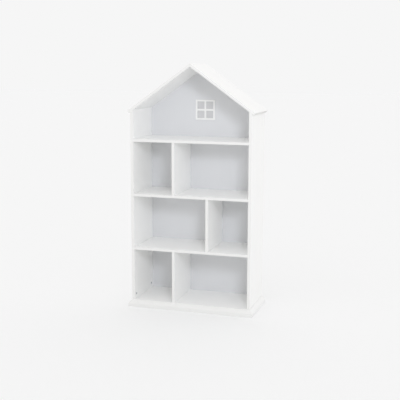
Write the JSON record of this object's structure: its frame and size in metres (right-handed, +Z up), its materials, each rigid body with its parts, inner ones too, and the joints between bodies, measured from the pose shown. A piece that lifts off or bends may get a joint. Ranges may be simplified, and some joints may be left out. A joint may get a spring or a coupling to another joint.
{
  "type": "house shaped bookcase",
  "caption": "Freestanding child's bookcase in white painted board, shaped like a house: divided shelf bays under a gabled attic with a raised window, on a bevelled plinth.",
  "frame": {"origin": "middle of the footprint, on the floor", "axes": "+Z up; +Y towards the back, so the open front faces -Y; +X to the right as seen from the front"},
  "size_m": [0.8, 0.348, 1.5077],
  "materials": {
    "white_board": "satin white paint on fibreboard",
    "raw_batten": "planed softwood, unpainted",
    "back_board": "smooth white-coated hardboard",
    "window_white": "satin white paint on fibreboard",
    "grey_card": "smooth matt grey card",
    "beech": "turned and fluted, unpainted",
    "zinc": "die-cast zinc, as cast",
    "steel": "bright zinc plate",
    "bracket_steel": "zinc plated sheet steel"
  },
  "bodies": {
    "root": {"base_board": "white_board", "base_rail_front": "raw_batten", "base_rail_rear": "white_board", "base_rail_left": "raw_batten", "base_rail_right": "raw_batten", "plinth_front": "white_board", "plinth_left": "white_board", "plinth_right": "white_board", "side_panel_left": "white_board", "side_panel_right": "white_board", "lower_shelf": "white_board", "upper_shelf": "white_board", "attic_shelf": "white_board", "lower_divider": "white_board", "middle_divider": "white_board", "upper_divider": "white_board", "roof_panel_left": "white_board", "roof_panel_right": "white_board", "ridge_spline": "beech", "back_panel_lower": "back_board", "back_panel_gable": "back_board", "window_frame": "window_white", "window_card": "grey_card", "cam_locks": "zinc", "cam_bolts": "steel", "dowels": "beech", "roof_screws": "steel", "roof_plugs": "white_board", "base_screws": "steel", "back_screws": "steel", "window_screws": "steel", "wall_brackets": "bracket_steel", "bracket_screws": "steel"}
  },
  "joints": []
}
